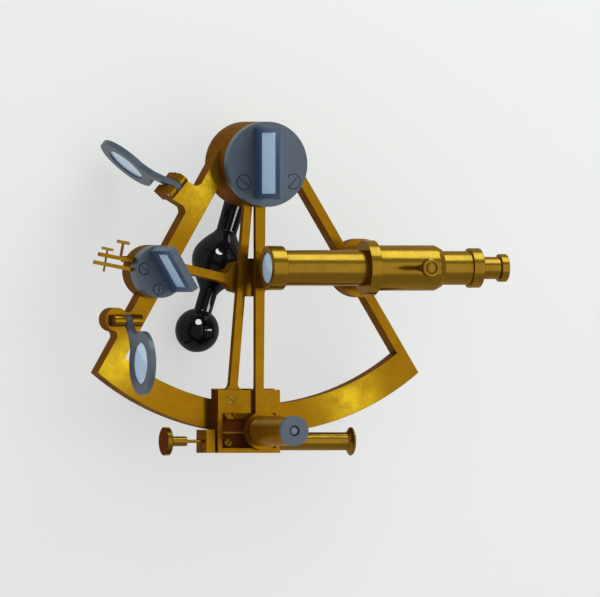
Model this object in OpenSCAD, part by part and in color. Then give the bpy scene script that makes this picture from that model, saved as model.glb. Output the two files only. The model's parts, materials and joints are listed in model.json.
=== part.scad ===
// Marine sextant of about 1830, lying face up on its three legs.
// X runs to the right, Y away from the arc, and Z up out of the face.
// The origin is on the floor under the pivot of the index arm.

/* [Frame] */
// Outer radius of the arc, measured from the pivot
limb_r = 202; // [192:1:212]
// Width of the arc
limb_w = 22; // [18:0.5:26]
// Thickness of the frame casting
frame_t = 16; // [14:0.5:18]
// Wall of the hollow behind the face
wall_t = 3; // [2:0.25:4]
// Radius of the round head over the pivot
head_r = 32; // [30:0.5:36]
// Width of the left bar, which carries the horizon mirror
left_bar_w = 13.2; // [11:0.2:13.4]
// Lean of the left bar from the centre line
left_bar_angle = 30.2; // [29.5:0.1:31]
// Distance from the pivot to the middle of the left bar
left_bar_off = 25.3; // [24:0.2:27]
// Width of the right bar
right_bar_w = 7; // [6:0.2:9]
// Lean of the right bar from the centre line
right_bar_angle = 31.5; // [31:0.1:32]
// Distance from the pivot to the middle of the right bar
right_bar_off = 24; // [23:0.2:25]
// Width of the cross bars
cross_bar_w = 6.4; // [5:0.2:8]
// Length of the legs below the frame
leg_len = 60; // [56:1:70]
// Diameter of the legs
leg_d = 8; // [6:0.5:9]

/* [Handle] */
// Largest diameter of the grip
grip_d = 39.5; // [34:0.5:42]
// Diameter of the ball at the end of the handle
ball_d = 33; // [27:0.5:35]
// Diameter of the waist between the grip and the ball
waist_d = 13.4; // [11:0.2:16]
// Length of the handle
handle_len = 127; // [123:1:133]
// Distance from the back of the frame to the middle of the handle
handle_drop = 39; // [38:0.5:42]

/* [Index arm] */
// Height of the arm's round head
arm_head_t = 12; // [11:0.5:14]
// Width of each leg of the arm
arm_leg_w = 6.2; // [5:0.2:8]
// Diameter of the spindle
spindle_d = 16; // [13:0.5:18]
// Width of the vernier box
box_w = 49.6; // [46:0.2:52]
// Length of the vernier box along the arm
box_l = 47.3; // [44:0.5:50]
// Depth of the vernier box
box_t = 12; // [11:0.5:14]

/* [Mirrors] */
// Height of the index mirror's frame above its base
index_mirror_h = 54; // [48:1:56]
// Length of the index mirror's frame
index_mirror_l = 54; // [50:1:58]
// Thickness of the index mirror's base
index_base_t = 8; // [6:0.5:10]
// Radius of the horizon mirror's base
horizon_r = 19.8; // [18.5:0.2:20.4]
// Height of the horizon mirror's base
horizon_base_t = 13.7; // [11:0.5:15]
// Height of the horizon mirror's frame above its base
horizon_mirror_h = 43.6; // [40:0.5:46]
// Length of the horizon mirror's frame
horizon_mirror_l = 36; // [32:0.5:38]

/* [Telescope] */
// Height of the telescope's axis above the face of the frame
scope_h = 40; // [39:0.5:44]
// Outer diameter of the main tube
tube_d = 26.8; // [23:0.2:29]
// Wall of the telescope's tubes
tube_wall = 1.2; // [0.8:0.1:1.5]
// Length of the main tube between its collar and the ring
tube_len = 64.7; // [60:0.5:70]
// Outer diameter of the collar at the front lens
collar_d = 33.4; // [31:0.2:36]
// Outer diameter of the ring that holds the telescope
ring_d = 41.7; // [39:0.2:44]
// Outer diameter of the tube behind the ring
rear_d = 34.2; // [32:0.2:37]
// Length of the tube behind the ring
rear_len = 52.5; // [48:0.5:56]
// Outer diameter of the draw tube
draw_d = 25.5; // [23:0.2:27]
// Outer diameter of the eyepiece
eye_d = 16.8; // [15:0.2:19]

/* [Reading microscope] */
// Length of the microscope's tube
scope_tube_l = 70; // [60:1:76]
// Outer diameter of the microscope's tube
scope_tube_d = 22.6; // [20:0.2:25]
// Width of the microscope's arm
lens_arm_w = 6.3; // [5:0.1:7.5]
// Thickness of the microscope's arm
lens_arm_t = 5; // [4:0.25:5.5]

/* [Shades] */
// Outer radius of the shades' rings
shade_r = 24; // [22:0.5:25]
// Radius of the shades' glasses
shade_glass_r = 15.5; // [13:0.5:17]
// Thickness of the shades' rings
shade_t = 4.4; // [3.6:0.2:4.6]
// Distance from the pin to the middle of the upper shade
upper_reach = 58; // [55:0.5:59]
// Distance from the pin to the middle of the lower shade
lower_reach = 46; // [44:0.5:48]

/* [Tangent screw] */
// Distance from the arc's outer edge to the tangent screw
tangent_drop = 5.8; // [4.4:0.2:7]
// Width of the block that holds the tangent screw's nut
block_t = 7; // [5:0.25:8]
// Diameter of the tangent screw's knob
knob_d = 21.4; // [18:0.2:23]
// Diameter of the tangent screw's thread
thread_d = 2.5; // [2:0.1:4]
// Outer diameter of the spring barrel
barrel_d = 13.6; // [12:0.2:15]
// Length of the spring barrel
barrel_l = 56; // [54:0.5:62]

/* [Fits] */
// Radial clearance of the turning and sliding fits
fit = 0.05; // [0.02:0.01:0.08]
// Gap between pieces that move past each other
gap = 0.4; // [0.3:0.05:0.6]

/* [Hidden] */
$fn = 64;
fz = leg_len + frame_t;
back = leg_len;
deg_left = left_bar_angle;
deg_right = right_bar_angle;
limb_in = limb_r - limb_w;

// Directions along the side bars and square to them
ld = [-sin(deg_left), -cos(deg_left)];
ln = [-cos(deg_left), sin(deg_left)];
rd = [sin(deg_right), -cos(deg_right)];
rn = [cos(deg_right), sin(deg_right)];
function on_left(off, t) = ln * off + ld * t;
function on_right(off, t) = rn * off + rd * t;
left_out = left_bar_off + left_bar_w / 2;
right_out = right_bar_off + right_bar_w / 2;

// Places of the bosses in the plane of the frame
horizon_t = 111.2;
horizon_at = on_left(left_out - 0.8, horizon_t);
centre_at = [-4, -84.9];
centre_r = 14.3;
cross_at = on_left(left_bar_off, 101.2);
cross_drop = 5.3;
ring_boss_at = [83, -77.8];
ring_boss_r = 22;
scope_y = ring_boss_at[1];
lobe_t = 157.3;
lobe_at = on_left(left_out + 6.7, lobe_t);
lobe_r = 9;
lobe_root_r = 5;
lug_root_r = 6;
left_leg_at = [-68, -sqrt(pow(limb_in + 4, 2) - 68 * 68)];
right_leg_at = [96, -sqrt(pow(limb_r - 5, 2) - 96 * 96)];

// Upper shade: place and direction of its pin
lug_t = 48.2;
upper_pin_at = on_left(left_out + 18.5, lug_t);
upper_pin_deg = -131;
upper_pin_z = fz + 6;
upper_rest = -63;
// Lower shade: place of its pin, which lies along X
lower_pin_at = [-106, lobe_at[1] - 0.7];
lower_pin_z = fz + 5;
lower_rest = 46;
pin_r = 1.6;
knuckle_r = 4.5;
lug_half = 9;
lower_half = 11;
notch_half = shade_t / 2 + gap;

// Heights of the layers on the index arm
arm_z = fz + gap;
head_top = arm_z + arm_head_t;
base_top = head_top + index_base_t;
plate_t = 3;
box_z = arm_z + plate_t;
box_depth = 32.8;
box_top = box_z + box_t;
box_x0 = -37.7;
box_y1 = box_depth - limb_r;
box_y0 = box_y1 - box_l;
housing_t = 13;
housing_r = head_r;
nut_t = 5;
nut_hole_t = nut_t + 1;
nut_z = back - housing_t + nut_hole_t - gap;

// The microscope's arm
lens_x = -3.2;
lens_y = 2 - limb_r;
lens_low = box_top + gap;
pocket_d = lens_arm_t + 2 * gap;
arm_t = arm_head_t - pocket_d;
lens_head_r = 16;
hub_r = 9;
lens_left = 7;
lens_right = 2;
holder_r = scope_tube_d / 2 + 3.2;

// The telescope along X
scope_z = fz + scope_h;
front_x = -8;
collar_l = 12.4;
tube_x = front_x + collar_l;
ring_x = tube_x + tube_len;
ring_t = 8.4;
rear_x = ring_x + ring_t;
draw_x = rear_x + rear_len;
draw_show = 23;
flange_t = 8.6;
eye_x = draw_x + draw_show + flange_t;
eye_len = 15.4;
cap_t = 6;
stem_l = 12;
stem_w = 14;
stem_low = back - 12;

// The horizon mirror turned in the plane of the frame
mirror_deg = -59.3;
mirror_t = 6;

// The handle leans in the plane of the frame
handle_at = [4.7, -19.2];
handle_deg = 17.6;
handle_z = back - handle_drop;
bracket_t = 4;
bracket_r = 26;

// A flat bar between two points
module bar(p, q, w) {
    d = q - p;
    translate(p)
        rotate(atan2(d[1], d[0]))
            translate([0, -w / 2])
                square([norm(d), w]);
}

// A cylinder lying along X from x0 to x1
module rod_x(x0, x1, r) {
    translate([x0, 0, 0])
        rotate([0, 90, 0])
            cylinder(h = x1 - x0, r = r);
}

// A tube lying along X from x0 to x1
module tube_along_x(x0, x1, r_out, r_in) {
    difference() {
        rod_x(x0, x1, r_out);
        rod_x(x0 - 1, x1 + 1, r_in);
    }
}

// A round screw head with its slot, seated at z = 0
module screw_head(r, h, slot_deg) {
    difference() {
        cylinder(h = h, r = r);
        rotate(slot_deg)
            translate([-r - 1, -0.6, h / 2])
                cube([2 * r + 2, 1.2, h]);
    }
}

// The quarter-round web in a corner that opens along +X and +Y
module fillet(r) {
    difference() {
        square([r, r]);
        translate([r, r])
            circle(r = r);
    }
}

// All that lies between the outer edges of the side bars
module between_bars(inset) {
    polygon([on_left(left_out - inset, 0), on_left(left_out - inset, limb_r * 1.6),
        on_right(right_out - inset, limb_r * 1.6), on_right(right_out - inset, 0)]);
}

// The arc's ring and the side bars, each bar a little too wide on its outer side
module arc_and_bars() {
    spare = 3;
    difference() {
        circle(r = limb_r, $fn = 180);
        circle(r = limb_in, $fn = 180);
    }
    bar(on_left(left_bar_off + spare / 2, -5), on_left(left_bar_off + spare / 2, limb_in + 8),
        left_bar_w + spare);
    bar(on_right(right_bar_off + spare / 2, -5), on_right(right_bar_off + spare / 2, limb_in + 8),
        right_bar_w + spare);
}

// Puts its children on the left bar's outer edge: X points away from the bar, Y down along it
module on_left_edge(t) {
    translate(on_left(left_out, t))
        rotate(180 - deg_left)
            children();
}

// The rounded inner corners on both sides of a lug of the given half width
module root(half, r) {
    for (side = [0, 1])
        mirror([0, side])
            translate([-0.4, half - 0.4])
                fillet(r + 0.4);
}

module frame_outline() {
    intersection() {
        arc_and_bars();
        between_bars(0);
    }
    circle(r = head_r);
    translate(horizon_at)
        circle(r = horizon_r + 0.2);
    translate(lobe_at)
        circle(r = lobe_r);
    bar(lobe_at, on_left(left_bar_off, lobe_t), 2 * lobe_r - 1);
    on_left_edge(lobe_t)
        root(lobe_r - 0.5, lobe_root_r);
    translate(centre_at)
        circle(r = centre_r);
    translate(ring_boss_at)
        circle(r = ring_boss_r);
    bar(cross_at, centre_at - [0, cross_drop], cross_bar_w);
    bar(centre_at, ring_boss_at, cross_bar_w);
    translate(centre_at)
        polygon([[-centre_r - 8.7, 0.2 - cross_bar_w / 2], [-centre_r - 6.2, -1.6 - cross_bar_w / 2],
            [-centre_r - 1, -centre_r * 0.71], [-4, -centre_r * 0.94], [-4, centre_r * 0.94],
            [-centre_r + 0.2, centre_r * 0.76], [-centre_r - 5.4, 0.6 + cross_bar_w / 2],
            [-centre_r - 8.7, cross_bar_w / 2 - 0.3]]);
    bar(on_left(left_bar_off, lug_t), upper_pin_at, 2 * lug_half);
    on_left_edge(lug_t)
        root(lug_half, lug_root_r);
    translate(upper_pin_at)
        rotate(upper_pin_deg)
            square([2 * lug_half + 2 * gap, 2 * knuckle_r + 2 * gap], center = true);
}

// Hollows in the back of the casting, which leave a face and two walls
module frame_hollows() {
    intersection() {
        difference() {
            circle(r = limb_r - wall_t, $fn = 180);
            circle(r = limb_in + wall_t, $fn = 180);
        }
        between_bars(left_bar_w);
    }
    bar(on_left(left_bar_off, head_r + 12), on_left(left_bar_off, horizon_t - horizon_r - 5),
        left_bar_w - 2 * wall_t);
    bar(on_left(left_bar_off, horizon_t + horizon_r + 7), on_left(left_bar_off, limb_in - 12),
        left_bar_w - 2 * wall_t);
}

module at_upper_pin() {
    translate([upper_pin_at[0], upper_pin_at[1], upper_pin_z])
        rotate(upper_pin_deg)
            children();
}

module at_lower_pin() {
    translate([lower_pin_at[0], lower_pin_at[1], lower_pin_z])
        children();
}

// One ear of a shade's hinge, along X from x0 to x1, standing on a foot
module ear(x0, x1, drop) {
    rod_x(x0, x1, knuckle_r);
    translate([x0, -knuckle_r, -drop])
        cube([x1 - x0, 2 * knuckle_r, drop]);
}

module frame() color("darkgoldenrod") difference() {
    union() {
        translate([0, 0, back])
            linear_extrude(frame_t)
                frame_outline();
        at_upper_pin()
            ear(-lug_half, lug_half, upper_pin_z - fz + 1);
        at_lower_pin() {
            ear(-lower_half, -notch_half, lower_pin_z - fz + 1);
            ear(notch_half, lower_half, lower_pin_z - fz + 1);
        }
    }
    difference() {
        translate([0, 0, back - 1])
            linear_extrude(frame_t - wall_t)
                frame_hollows();
        for (p = [left_leg_at, right_leg_at])
            translate([p[0], p[1], back - 1])
                cylinder(h = frame_t, r = leg_d / 2 + wall_t);
    }
    translate([0, 0, back - 1])
        cylinder(h = frame_t + 2, r = spindle_d / 2 + fit);
    translate([horizon_at[0], horizon_at[1], back - 1])
        cylinder(h = frame_t + 2, r = stub_r + fit);
    at_upper_pin() {
        translate([-notch_half, -knuckle_r - 4, -40])
            cube([2 * notch_half, 2 * knuckle_r + 4 + 2 * gap, 60]);
        rod_x(-40, 40, pin_r);
    }
    at_lower_pin()
        rod_x(-40, 40, pin_r);
    translate([ring_x - 1.8 - fit, scope_y - stem_w / 2 - fit, back - 1])
        cube([stem_l + 2 * fit, stem_w + 2 * fit, frame_t + 2]);
}

module bearing_housing() color("darkgoldenrod") difference() {
    translate([0, 0, back - housing_t])
        cylinder(h = housing_t, r = housing_r);
    translate([0, 0, back - housing_t - 1])
        cylinder(h = housing_t + 2, r = spindle_d / 2 + fit);
    translate([0, 0, back - housing_t - 1])
        cylinder(h = nut_hole_t + 1, r = spindle_d / 2 + 5);
}

// The handle's own frame: its axis runs along X from the upper end
module at_handle() {
    translate([handle_at[0], handle_at[1], handle_z])
        rotate(-90 - handle_deg)
            children();
}

module handle_bracket() color("darkgoldenrod") {
    translate([0, 0, back - housing_t - bracket_t])
        cylinder(h = bracket_t, r = bracket_r);
    at_handle()
        translate([-10, -7, -8])
            cube([10, 14, handle_drop - housing_t - bracket_t + 10]);
}

// Radius of the grip along its length: a slow taper, a swell between two necks, and the waist
neck_s = 34;
swell_s = 55;
foot_s = 79;
end_r = 8.6;
neck_r = 7.7;
foot_r = 7.4;
function mix(a, b, t) = a + (b - a) * t;
function grip_at(s) = s < neck_s ? mix(end_r, neck_r, s / neck_s)
    : s < swell_s ? mix(neck_r, grip_d / 2, sin(90 * (s - neck_s) / (swell_s - neck_s)))
    : s < foot_s ? mix(foot_r, grip_d / 2, sin(90 * (foot_s - s) / (foot_s - swell_s)))
    : waist_d / 2;
ball_at = handle_len - ball_d / 2;
ball_start = acos(waist_d / ball_d);

module handle() color("black") at_handle()
    rotate([0, 90, 0])
        rotate_extrude()
            polygon(concat([[0, 0]],
                [for (s = [0 : 3 : 90]) [grip_at(s), s]],
                [for (a = [-ball_start : 9 : 80]) [cos(a) * ball_d / 2, ball_at + sin(a) * ball_d / 2]],
                [[2, handle_len], [0, handle_len]]));

pillar_r = 3.5;
pillar_s = 66;
module handle_pillar() color("darkgoldenrod") at_handle()
    translate([pillar_s, 0, grip_at(pillar_s) - 2])
        cylinder(h = handle_drop - grip_at(pillar_s) + 2, r = pillar_r);

module handle_screw() color("darkgoldenrod") at_handle()
    translate([-10, 0, 0])
        rotate([0, -90, 0])
            screw_head(3.6, 2.2, 35);

module leg(h) {
    cylinder(h = h, r = leg_d / 2);
    cylinder(h = 2.4, r = leg_d / 2 + 0.5);
}

module apex_leg() color("darkgoldenrod")
    leg(back - housing_t - bracket_t);

module arc_legs() color("darkgoldenrod")
    for (p = [left_leg_at, right_leg_at])
        translate([p[0], p[1], 0])
            leg(leg_len);

leg_l0 = [-9.5, -22];
leg_l1 = [-22, box_y1];
leg_r0 = [0.5, -22];
leg_r1 = [-1, box_y1];
arm_fillet = 5;

module index_arm() color("darkgoldenrod") {
    difference() {
        translate([0, 0, arm_z])
            cylinder(h = arm_head_t, r = head_r);
        translate([0, 0, head_top - pocket_d]) {
            difference() {
                cylinder(h = pocket_d + 1, r = lens_head_r + gap);
                cylinder(h = pocket_d + 1, r = hub_r);
            }
            translate([lens_x - lens_arm_w / 2 - head_r * sin(lens_left) - gap, -head_r - 1, 0])
                cube([lens_arm_w + head_r * (sin(lens_left) + sin(lens_right)) + 2 * gap,
                    head_r + 1 - lens_head_r + 3, pocket_d + 1]);
        }
    }
    translate([0, 0, arm_z])
        linear_extrude(arm_t) {
            bar(leg_l0, leg_l1, arm_leg_w);
            bar(leg_r0, leg_r1, arm_leg_w);
            translate([leg_l1[0] + arm_leg_w / 2 + 0.2, box_y1])
                fillet(arm_fillet);
            translate([leg_l1[0] - arm_leg_w / 2 + 0.2, box_y1])
                mirror([1, 0])
                    fillet(arm_fillet);
        }
    translate([box_x0, box_y0, arm_z])
        cube([box_w, box_l + 1, plate_t]);
}

module spindle() color("silver")
    translate([0, 0, nut_z])
        cylinder(h = arm_z - nut_z, r = spindle_d / 2);

module spindle_nut() color("darkgoldenrod")
    translate([0, 0, nut_z])
        mirror([0, 0, 1])
            screw_head(spindle_d / 2 + 4, nut_t, 20);

band = 3.7;
window_top = box_y1 - 21.8;
bevel = 4.3;
module vernier_box() color("darkgoldenrod") difference() {
    translate([box_x0, box_y0, box_z])
        cube([box_w, box_l, box_t]);
    translate([box_x0 + band, 0, 0])
        rotate([90, 0, 90])
            linear_extrude(box_w - 2 * band)
                polygon([[window_top, box_z + 2], [window_top, box_top - bevel],
                    [window_top + bevel, box_top + 0.1], [window_top + bevel, box_top + 1],
                    [box_y0 + band, box_top + 1], [box_y0 + band, box_z + 2]]);
    translate([box_x0 + 9.9, box_y1 - 7.4, box_top - 1.4])
        cylinder(h = 2, r = 3.6);
}

module vernier_plate() color("silver")
    translate([box_x0 + band, -limb_r, box_z + 2])
        cube([box_w - 2 * band, limb_r + window_top, 2.5]);

module box_screws() color("darkgoldenrod") {
    translate([box_x0 + 9.9, box_y1 - 7.4, box_top - 1.4])
        screw_head(3.6, 1.4, -35);
    translate([box_x0 + 11.1, box_y0 + 7.8, box_z + 2])
        screw_head(2.9, 2.4, 50);
}

// Places of the sunk screws on the two mirror bases: x, y, turn of the slot
index_screw_at = [[-18.8, -13.5, -35], [20.6, -12.9, 50]];
horizon_screw_at = [[-13.3, 2, -35], [-1.8, -13.3, 85]];
index_screw_r = 5.2;
horizon_screw_r = 3.8;
sink = 1.2;
screw_t = 1.8;

module index_base() color("slategray") difference() {
    translate([0, 0, head_top])
        cylinder(h = index_base_t, r = head_r);
    for (p = index_screw_at)
        translate([p[0], p[1], base_top - sink])
            cylinder(h = 2 * sink, r = index_screw_r + sink / 2);
}

glass_x = -9.8;
mirror_side = 4.1;
module index_mirror_frame() color("slategray") difference() {
    translate([glass_x, 0.8 - index_mirror_l / 2, base_top])
        cube([mirror_side, index_mirror_l, index_mirror_h]);
    translate([glass_x - 1, 0.8 - index_mirror_l / 2 + 4, base_top + 12.3])
        cube([mirror_side, index_mirror_l - 8, index_mirror_h - 22.3]);
    translate([glass_x + 1, 0.8 - index_mirror_l / 2 + 2, base_top + 10.3])
        cube([mirror_side, index_mirror_l - 4, index_mirror_h - 18.3]);
}

module index_mirror() color("lightsteelblue")
    translate([glass_x + 1, 0.8 - index_mirror_l / 2 + 2, base_top + 10.3])
        cube([mirror_side - 1, index_mirror_l - 4, index_mirror_h - 18.3]);

module index_back_plate() color("slategray")
    translate([glass_x + mirror_side, 0.8 - index_mirror_l / 2, base_top])
        cube([2.3, index_mirror_l, index_mirror_h]);

module index_screws() color("slategray")
    for (p = index_screw_at)
        translate([p[0], p[1], base_top - sink])
            screw_head(index_screw_r, screw_t, p[2]);

tangent_z = fz + 6;
tangent_y = limb_r + tangent_drop;
module at_tangent() {
    translate([0, -tangent_y, tangent_z])
        children();
}
barrel_x = box_x0 + box_w;
barrel_wall = 1.4;
flare_t = 2.9;
module spring_barrel() color("darkgoldenrod") at_tangent()
    difference() {
        rod_x(barrel_x, barrel_x + barrel_l, barrel_d / 2);
        rod_x(barrel_x + barrel_wall, barrel_x + barrel_l + 1, barrel_d / 2 - barrel_wall);
    }

module barrel_cap() color("darkgoldenrod") at_tangent() {
    translate([barrel_x + barrel_l, 0, 0])
        rotate([0, 90, 0])
            cylinder(h = flare_t, r1 = barrel_d / 2 + 0.4, r2 = barrel_d / 2 + 3.4);
    rod_x(barrel_x + barrel_l + flare_t, barrel_x + barrel_l + flare_t + 1.6, barrel_d / 2 + 3.9);
}

module counter_spring() color("silver") at_tangent()
    tube_along_x(barrel_x + barrel_wall, barrel_x + barrel_l, barrel_d / 2 - barrel_wall - 0.3,
        barrel_d / 2 - barrel_wall - 1.6);

creep = 0.25;
block_gap = limb_r * 1.08 * sin(creep) + gap;
block_x1 = box_x0 - block_gap;
block_x0 = block_x1 - block_t;
block_w = 17.4;
block_low = fz - 9;
web_x0 = block_x1 - 1.6;
web_w = 12;
clamp_at = [-14, limb_r - 2.5];
jaw_low = back - 8;
jaw_w = 16;
module clamp_block() color("darkgoldenrod") difference() {
    union() {
        translate([block_x0, -tangent_y - block_w / 2, block_low])
            cube([block_t, block_w, tangent_z + 7 - block_low]);
        translate([web_x0, -tangent_y - block_w / 2, jaw_low])
            cube([web_w, web_w, fz - 1 - jaw_low]);
        translate([web_x0, -tangent_y - block_w / 2, jaw_low])
            cube([clamp_at[0] + jaw_w / 2 - web_x0, web_w, back - gap - jaw_low]);
        translate([clamp_at[0] - jaw_w / 2, -tangent_y, jaw_low])
            cube([jaw_w, tangent_y - limb_r + jaw_w / 2, 4]);
    }
    translate([0, 0, back - gap])
        cylinder(h = 60, r = limb_r + gap);
    at_tangent()
        rod_x(block_x0 - 1, block_x1 + 1, thread_d / 2 + fit);
    translate([clamp_at[0], -clamp_at[1], jaw_low - 1])
        cylinder(h = 20, r = 3 + fit);
}

module clamp_screw() color("darkgoldenrod")
    translate([clamp_at[0], -clamp_at[1], 0]) {
        translate([0, 0, jaw_low - 4.4])
            cylinder(h = back - gap - jaw_low + 4.4, r = 3);
        translate([0, 0, jaw_low - 9.4])
            cylinder(h = 5, r = 7);
    }

shank_x1 = block_x0 - 13.5;
shank_x0 = shank_x1 - 13.7;
knob_t = 4.9;
knob_x = shank_x0 - knob_t;
module tangent_screw() color("darkgoldenrod") at_tangent() {
    rod_x(shank_x1, block_x1, thread_d / 2);
    rod_x(shank_x0, shank_x1, 3.7);
}

module tangent_knob() color("darkgoldenrod") at_tangent()
    difference() {
        rod_x(knob_x, shank_x0, knob_d / 2);
        rotate([0, 90, 0])
            for (a = [0 : 15 : 345])
                rotate(a)
                    translate([knob_d / 2 + 0.4, 0, knob_x - 1])
                        cylinder(h = knob_t + 2, r = 0.9);
    }

rise_y0 = scope_y + 16;
rise_y1 = scope_y - 16;
lens_head_z = head_top - pocket_d + gap;
lens_jog = 3.2;
jog_deg = atan(lens_jog / (rise_y0 - rise_y1));

// A length of the arm with its side profile in Y and Z, turned about the upper end of the crank
module arm_length(jog, deg, profile) {
    translate([lens_x - jog, rise_y0, 0])
        rotate(deg)
            translate([-lens_arm_w / 2, -rise_y0, 0])
                rotate([90, 0, 90])
                    linear_extrude(lens_arm_w)
                        polygon(profile);
}

module lens_arm() color("darkgoldenrod") {
    difference() {
        union() {
            translate([0, 0, lens_head_z])
                cylinder(h = lens_arm_t, r = lens_head_r);
            arm_length(0, 0, [[-hub_r - 3, lens_head_z], [rise_y0 - 0.7, lens_head_z],
                [rise_y0 - 0.7, lens_head_z + lens_arm_t], [-hub_r - 3, lens_head_z + lens_arm_t]]);
            arm_length(0, -jog_deg, [[rise_y0 + 2, lens_head_z + 0.6], [rise_y0, lens_head_z + 0.2],
                [rise_y1, lens_low], [rise_y1 - 2, lens_low + 0.6],
                [rise_y1 - 2, lens_low + lens_arm_t - 0.6], [rise_y1 + 1, lens_low + lens_arm_t],
                [rise_y0 + 1, lens_head_z + lens_arm_t],
                [rise_y0 + 2, lens_head_z + lens_arm_t - 0.6]]);
            arm_length(lens_jog, 0, [[rise_y1 + 0.7, lens_low], [lens_y + holder_r - 1.5, lens_low],
                [lens_y + holder_r - 1.5, lens_low + lens_arm_t],
                [rise_y1 + 0.7, lens_low + lens_arm_t]]);
        }
        translate([0, 0, lens_head_z - 1])
            cylinder(h = lens_arm_t + 2, r = hub_r + fit);
    }
    translate([lens_x, lens_y, lens_low])
        difference() {
            cylinder(h = lens_arm_t, r = holder_r);
            translate([0, 0, -1])
                cylinder(h = lens_arm_t + 2, r = scope_tube_d / 2);
        }
}

module microscope_tube() color("darkgoldenrod")
    translate([lens_x, lens_y, lens_low])
        difference() {
            cylinder(h = scope_tube_l, r = scope_tube_d / 2);
            translate([0, 0, -1])
                cylinder(h = scope_tube_l - 3, r = scope_tube_d / 2 - tube_wall);
            cylinder(h = scope_tube_l + 1, r = 4);
        }

module microscope_lens() color("lightsteelblue")
    translate([lens_x, lens_y, lens_low + 6])
        cylinder(h = 3, r = scope_tube_d / 2 - tube_wall);

module eye_disc() color("slategray")
    translate([lens_x, lens_y, lens_low + scope_tube_l])
        difference() {
            cylinder(h = 3, r = scope_tube_d / 2);
            translate([0, 0, -1])
                cylinder(h = 5, r = 3.9);
        }

module at_scope() {
    translate([0, scope_y, scope_z])
        children();
}

module telescope_ring() color("darkgoldenrod") {
    at_scope()
        tube_along_x(ring_x, rear_x, ring_d / 2, tube_d / 2);
    difference() {
        translate([ring_x - 1.8, scope_y - stem_w / 2, stem_low])
            cube([stem_l, stem_w, scope_z - ring_d / 2 + 4 - stem_low]);
        at_scope()
            rod_x(ring_x - 10, rear_x + 10, ring_d / 2 - 2);
        translate([ring_x - 1.8 + stem_l / 2, scope_y, stem_low - 1])
            cylinder(h = 20, r = 2.5 + fit);
    }
}

module main_tube() color("darkgoldenrod") at_scope()
    tube_along_x(tube_x, rear_x, tube_d / 2, tube_d / 2 - tube_wall);

module objective_cell() color("darkgoldenrod") at_scope() {
    tube_along_x(front_x, tube_x, collar_d / 2, collar_d / 2 - 5.1);
}

module objective_lens() color("lightsteelblue") at_scope()
    rod_x(front_x + 1.2, front_x + 5, collar_d / 2 - 5.1);

module rear_tube() color("darkgoldenrod") at_scope()
    difference() {
        union() {
            rod_x(rear_x, draw_x - 5, rear_d / 2);
            translate([draw_x - 5, 0, 0])
                rotate([0, 90, 0])
                    cylinder(h = 5, r1 = rear_d / 2, r2 = rear_d / 2 - 2.4);
        }
        rod_x(rear_x - 1, draw_x + 1, draw_d / 2 + fit);
        translate([focus_x, 0, 0])
            cylinder(h = 40, r = 2.2 + fit);
    }
focus_x = rear_x + 30;

draw_in = 24;
module draw_tube() color("darkgoldenrod") at_scope() {
    tube_along_x(draw_x - draw_in, draw_x + draw_show, draw_d / 2, draw_d / 2 - tube_wall);
    tube_along_x(draw_x + draw_show, draw_x + draw_show + flange_t, draw_d / 2 + 2.2, eye_d / 2);
}

module eyepiece() color("darkgoldenrod") at_scope()
    tube_along_x(draw_x + draw_show - 6, eye_x + eye_len, eye_d / 2, eye_d / 2 - tube_wall);

module eye_lens() color("lightsteelblue") at_scope()
    rod_x(eye_x + eye_len - 6, eye_x + eye_len - 2, eye_d / 2 - tube_wall);

module eye_cap() color("darkgoldenrod") at_scope()
    tube_along_x(eye_x + eye_len, eye_x + eye_len + cap_t, eye_d / 2 + 2.1, 4);

module focus_screw() color("darkgoldenrod") at_scope()
    translate([focus_x, 0, 0]) {
        translate([0, 0, draw_d / 2 + gap])
            cylinder(h = rear_d / 2 - draw_d / 2 + 9, r = 2.2);
        translate([0, 0, rear_d / 2 + 9])
            cylinder(h = 14, r = 3.4);
        translate([0, 0, rear_d / 2 + 23])
            cylinder(h = 6, r = 7);
    }

module raising_nut() color("darkgoldenrod")
    translate([ring_x - 1.8 + stem_l / 2, scope_y, 0]) {
        translate([0, 0, stem_low - 1])
            cylinder(h = 13, r = 2.5);
        translate([0, 0, stem_low - 9])
            difference() {
                cylinder(h = 9 - gap, r = 10);
                for (a = [0 : 20 : 340])
                    rotate(a)
                        translate([10.6, 0, -1])
                            cylinder(h = 12, r = 1.1);
            }
    }

neck_half = 3.4;
// A shade in its own frame: the pin along X, the paddle along Y, the glass round
module shade_ring(reach) {
    difference() {
        union() {
            rod_x(-shade_t / 2, shade_t / 2, knuckle_r);
            translate([-shade_t / 2, 0, -neck_half])
                cube([shade_t, reach - shade_r + 4, 2 * neck_half]);
            translate([-shade_t / 2, 0, 0])
                rotate([90, 0, 90])
                    linear_extrude(shade_t)
                        polygon([[reach - shade_r - 8, 0.1 - neck_half],
                            [reach - shade_r + 5, -3 * neck_half],
                            [reach - shade_r + 5, 3 * neck_half],
                            [reach - shade_r - 8, neck_half - 0.1]]);
            translate([-shade_t / 2, reach, 0])
                rotate([0, 90, 0])
                    cylinder(h = shade_t, r = shade_r);
        }
        rod_x(-10, 10, pin_r + fit);
        translate([0, reach, 0])
            rod_x(-10, 10, shade_glass_r);
    }
}

module shade_glass(reach) {
    translate([0, reach, 0])
        rod_x(-0.9, 0.9, shade_glass_r);
}

module place_upper_shade() {
    at_upper_pin()
        rotate([180 - upper_rest, 0, 0])
            children();
}

module place_lower_shade() {
    at_lower_pin()
        rotate([180 - lower_rest, 0, 0])
            children();
}

module upper_shade_ring() color("slategray") place_upper_shade()
    shade_ring(upper_reach);

module upper_shade_glass() color("lightsteelblue") place_upper_shade()
    shade_glass(upper_reach);

module upper_shade_pin() color("silver") at_upper_pin()
    rod_x(-lug_half, lug_half, pin_r);

module lower_shade_ring() color("slategray") place_lower_shade()
    shade_ring(lower_reach);

module lower_shade_glass() color("lightsteelblue") place_lower_shade()
    shade_glass(lower_reach);

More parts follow.
